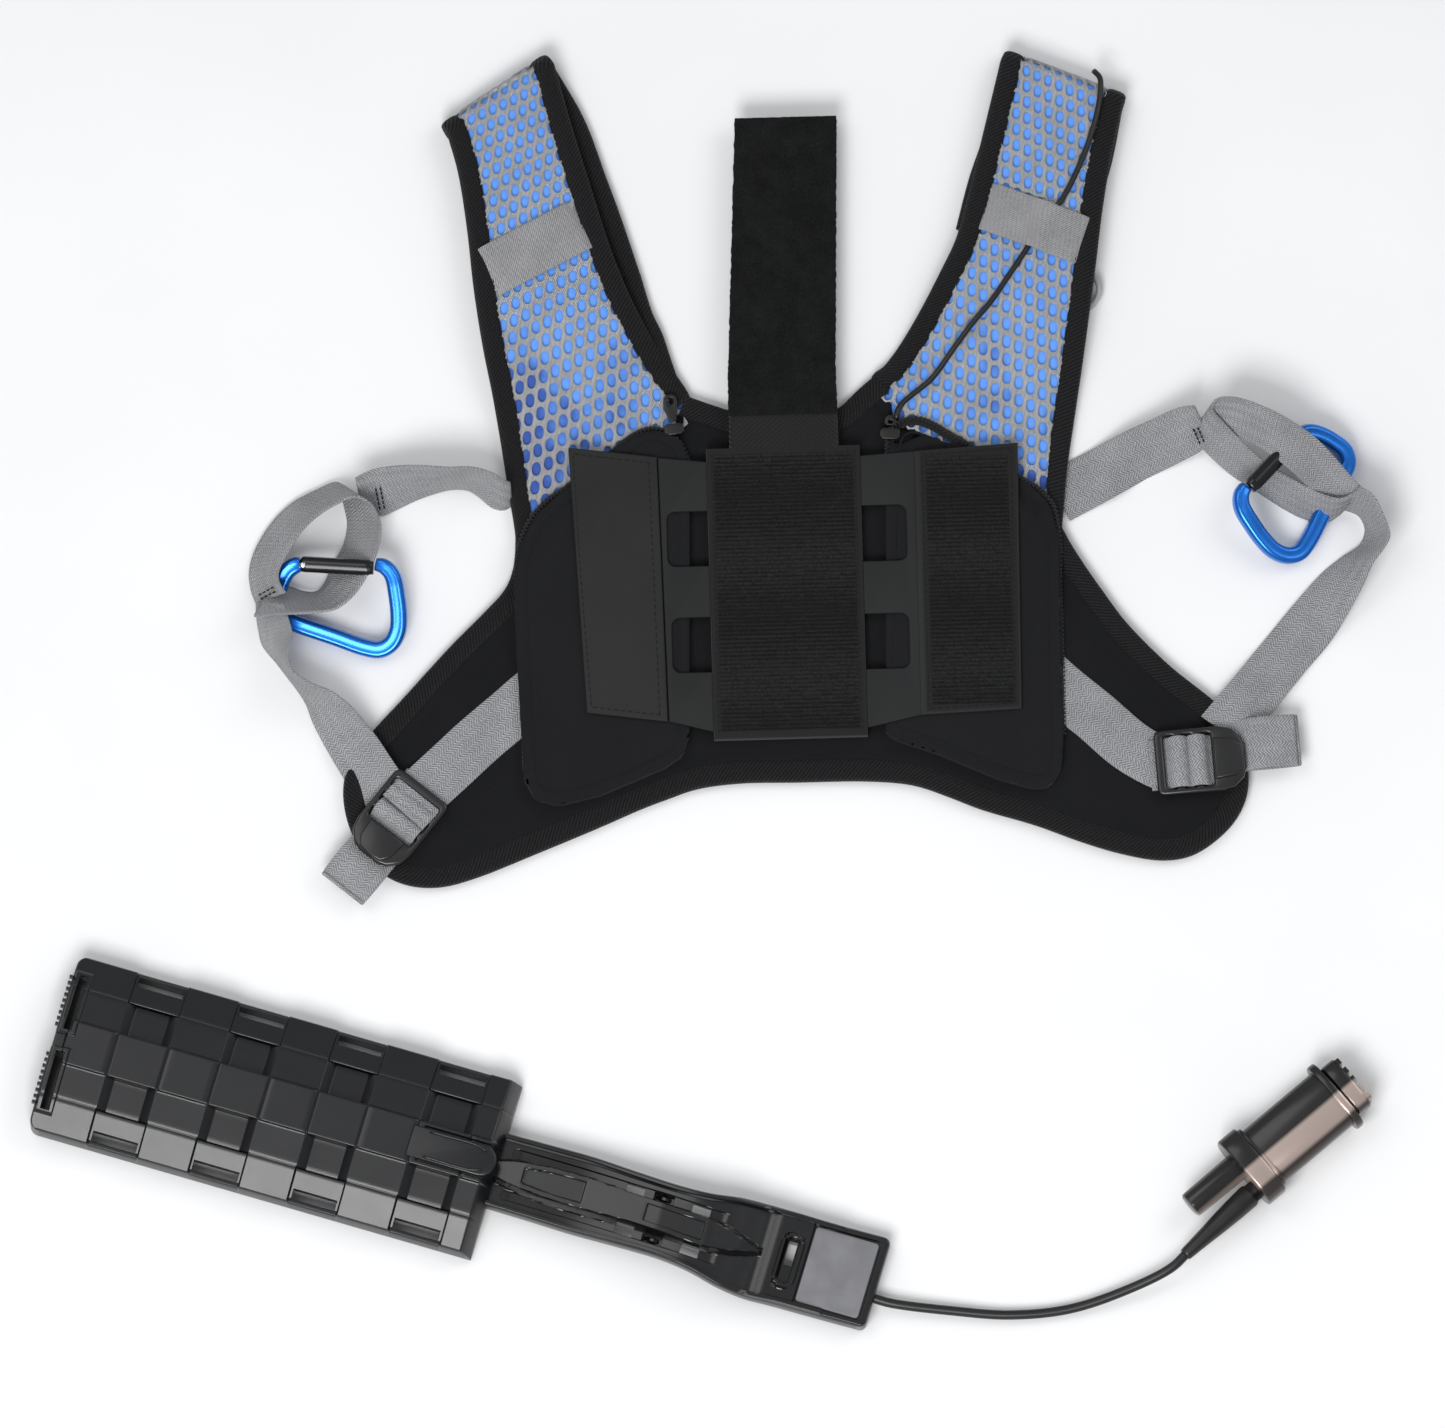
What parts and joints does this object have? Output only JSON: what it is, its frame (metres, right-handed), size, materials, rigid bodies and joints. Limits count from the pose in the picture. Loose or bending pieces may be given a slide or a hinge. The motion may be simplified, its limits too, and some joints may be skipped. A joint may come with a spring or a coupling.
{
  "type": "load-carrying harness vest with spinal support strut",
  "caption": "Padded back harness vest with folding shoulder straps, hook panel, wings, zip pockets and carabiners, laid flat with its support strut, mast, cable and push-button remote.",
  "frame": {"origin": "centre of the hook panel, projected straight down onto the padded back panel's rear face, which lies on the floor", "axes": "+Z out of the vest's face away from the floor, +Y from the lower edge towards the shoulder straps, +X to the right seen from above"},
  "size_m": [0.6474, 0.6217, 0.0243],
  "materials": {
    "padded_cloth": "matt woven nylon over foam",
    "edge_binding": "ribbed twill tape",
    "spacer_mesh": "open knitted net",
    "strap_foam": "smooth cloth over foam",
    "webbing": "chevron-woven tape",
    "hook_tape": "rows of moulded hooks",
    "loop_tape": "dense fuzzy loops",
    "neoprene": "smooth matt sheet",
    "zip_plastic": "moulded zip teeth on tape",
    "dark_metal": "worn dark lacquer",
    "steel": "bright",
    "anodised_blue": "anodised, glossy",
    "black_gate": "black anodised",
    "buckle_plastic": "moulded, satin",
    "support_plastic": "moulded, satin to gloss",
    "remote_plastic": "satin with a bronze cast",
    "cable_rubber": "smooth"
  },
  "bodies": {
    "vest": {"back_panel": "padded_cloth", "panel_binding": "edge_binding", "neck_binding": "edge_binding", "hook_panel": "hook_tape", "left_strap_pad": "strap_foam", "left_strap_mesh": "spacer_mesh", "left_strap_binding": "edge_binding", "right_strap_pad": "strap_foam", "right_strap_mesh": "spacer_mesh", "right_strap_binding": "edge_binding", "left_elastic_keeper": "webbing", "right_elastic_keeper": "webbing", "right_pull_cord": "cable_rubber", "right_shoulder_ring": "steel", "left_pocket": "padded_cloth", "right_pocket": "padded_cloth", "left_zip_track": "zip_plastic", "right_zip_track": "zip_plastic", "left_anchor_webbing": "webbing", "right_anchor_webbing": "webbing", "left_upper_webbing": "webbing", "right_upper_webbing": "webbing", "left_webbing_loop": "webbing", "right_webbing_loop": "webbing", "left_lower_webbing": "webbing", "right_lower_webbing": "webbing"},
    "top_strap": {"top_strap_webbing": "webbing", "top_strap_lower": "loop_tape"},
    "top_strap_end": {"top_strap_upper": "loop_tape"},
    "housing": {"housing_cover": "support_plastic", "housing_base": "support_plastic"},
    "latch": {"latch_tongue": "support_plastic"},
    "mast": {"mast": "support_plastic"},
    "pawl": {"lock_pawl": "steel"},
    "remote": {"cable_outer": "cable_rubber", "strain_relief_boot": "cable_rubber", "remote_body": "remote_plastic", "button_spring": "steel"},
    "button": {"remote_button": "remote_plastic"},
    "left_wing": {"left_wing_strip": "neoprene"},
    "left_wing_end": {"left_wing_flap": "neoprene"},
    "left_slider": {"left_zip_slider": "dark_metal"},
    "left_puller": {"left_zip_puller": "dark_metal"},
    "left_carabiner": {"left_carabiner_body": "anodised_blue", "left_gate_pin": "steel"},
    "left_gate": {"left_carabiner_gate": "black_gate"},
    "left_lock": {"left_ladder_lock": "buckle_plastic", "left_webbing_tail": "webbing"},
    "right_wing": {"right_wing_strip": "neoprene"},
    "right_wing_end": {"right_wing_flap": "neoprene", "right_hook_patch": "hook_tape"},
    "right_slider": {"right_zip_slider": "dark_metal"},
    "right_puller": {"right_zip_puller": "dark_metal"},
    "right_carabiner": {"right_carabiner_body": "anodised_blue", "right_gate_pin": "steel"},
    "right_gate": {"right_carabiner_gate": "black_gate"},
    "right_lock": {"right_ladder_lock": "buckle_plastic", "right_webbing_tail": "webbing"}
  },
  "joints": [
    {"name": "left_wing_side", "type": "hinge", "parent": "vest", "child": "left_wing", "pos_m": [-0.03769, -0.00105, 0.0124], "axis": [-0.0279, 0.9996, 0], "range_deg": [0, 90]},
    {"name": "left_wing_fold", "type": "hinge", "parent": "left_wing", "child": "left_wing_end", "pos_m": [-0.05925, 0.00095, 0.0124], "axis": [-0.0437, 0.999, 0], "range_deg": [0, 90]},
    {"name": "right_wing_side", "type": "hinge", "parent": "vest", "child": "right_wing", "pos_m": [0.03769, 0.00105, 0.0124], "axis": [0.0279, -0.9996, 0], "range_deg": [0, 90]},
    {"name": "right_wing_fold", "type": "hinge", "parent": "right_wing", "child": "right_wing_end", "pos_m": [0.06366, 0.00428, 0.0124], "axis": [0.0255, -0.9997, 0], "range_deg": [0, 90]},
    {"name": "top_strap_base", "type": "hinge", "parent": "vest", "child": "top_strap", "pos_m": [-0.0021, 0.07517, 0.0124], "axis": [0.9996, 0.0279, 0], "range_deg": [0, 90]},
    {"name": "top_strap_fold", "type": "hinge", "parent": "top_strap", "child": "top_strap_end", "pos_m": [-0.00302, 0.10816, 0.0124], "axis": [0.9996, 0.0279, 0], "range_deg": [0, 90]},
    {"name": "left_zip_run", "type": "hinge", "parent": "vest", "child": "left_slider", "pos_m": [-0.04085, -0.01651, 0.0099], "axis": [0, 0, 1], "range_deg": [0, 42]},
    {"name": "left_zip_pull", "type": "hinge", "parent": "left_slider", "child": "left_puller", "pos_m": [-0.05417, 0.08331, 0.0084], "axis": [0.9912, 0.1323, 0], "range_deg": [0, 90]},
    {"name": "right_zip_run", "type": "hinge", "parent": "vest", "child": "right_slider", "pos_m": [0.04417, -0.02889, 0.0099], "axis": [0, 0, -1], "range_deg": [0, 41]},
    {"name": "right_zip_pull", "type": "hinge", "parent": "right_slider", "child": "right_puller", "pos_m": [0.04917, 0.08119, 0.0084], "axis": [0.999, -0.0454, 0], "range_deg": [0, 90]},
    {"name": "left_carabiner_swivel", "type": "hinge", "parent": "vest", "child": "left_carabiner", "pos_m": [-0.2432, -0.0102, 0.0046], "axis": [0, 0, 1], "range_deg": [-1, 4]},
    {"name": "left_gate_open", "type": "hinge", "parent": "left_carabiner", "child": "left_gate", "pos_m": [-0.22959, 0.0131, 0.01425], "axis": [0.1136, 0.3226, -0.9397], "range_deg": [0, 24]},
    {"name": "right_carabiner_swivel", "type": "hinge", "parent": "vest", "child": "right_carabiner", "pos_m": [0.26828, 0.06687, 0.0046], "axis": [0, 0, 1], "range_deg": [-4, 4]},
    {"name": "right_gate_open", "type": "hinge", "parent": "right_carabiner", "child": "right_gate", "pos_m": [0.24234, 0.07432, 0.01425], "axis": [0.3049, -0.1549, 0.9397], "range_deg": [0, 17]},
    {"name": "left_lock_tilt", "type": "hinge", "parent": "vest", "child": "left_lock", "pos_m": [-0.17355, -0.09628, 0.0112], "axis": [-0.7826, 0.6225, 0], "range_deg": [0, 35]},
    {"name": "right_lock_tilt", "type": "hinge", "parent": "vest", "child": "right_lock", "pos_m": [0.17728, -0.08326, 0.0112], "axis": [0.0872, -0.9962, 0], "range_deg": [0, 35]},
    {"name": "support_lift", "type": "slide", "parent": "vest", "child": "housing", "axis": [0, 0, 1], "range_m": [0, 0.06]},
    {"name": "mast_extend", "type": "slide", "parent": "housing", "child": "mast", "axis": [0.9593, -0.2823, 0], "range_m": [-0.045, 0.015]},
    {"name": "latch_flex", "type": "hinge", "parent": "housing", "child": "latch", "pos_m": [-0.17272, -0.26971, 0.0226], "axis": [0.2823, 0.9593, 0], "range_deg": [0, 4]},
    {"name": "cable_bend", "type": "hinge", "parent": "mast", "child": "remote", "pos_m": [0.04231, -0.34133, 0.0056], "axis": [0, 0, 1], "range_deg": [-24, 24]},
    {"name": "remote_press", "type": "slide", "parent": "remote", "child": "button", "axis": [-0.7593, -0.6508, 0], "range_m": [0, 0.005]},
    {"name": "lock_lift", "type": "slide", "parent": "mast", "child": "pawl", "axis": [0, 0, 1], "range_m": [0, 0.003]}
  ],
  "couplings": [
    {"joint": "lock_lift", "follows": "remote_press", "ratio": 0.6}
  ]
}
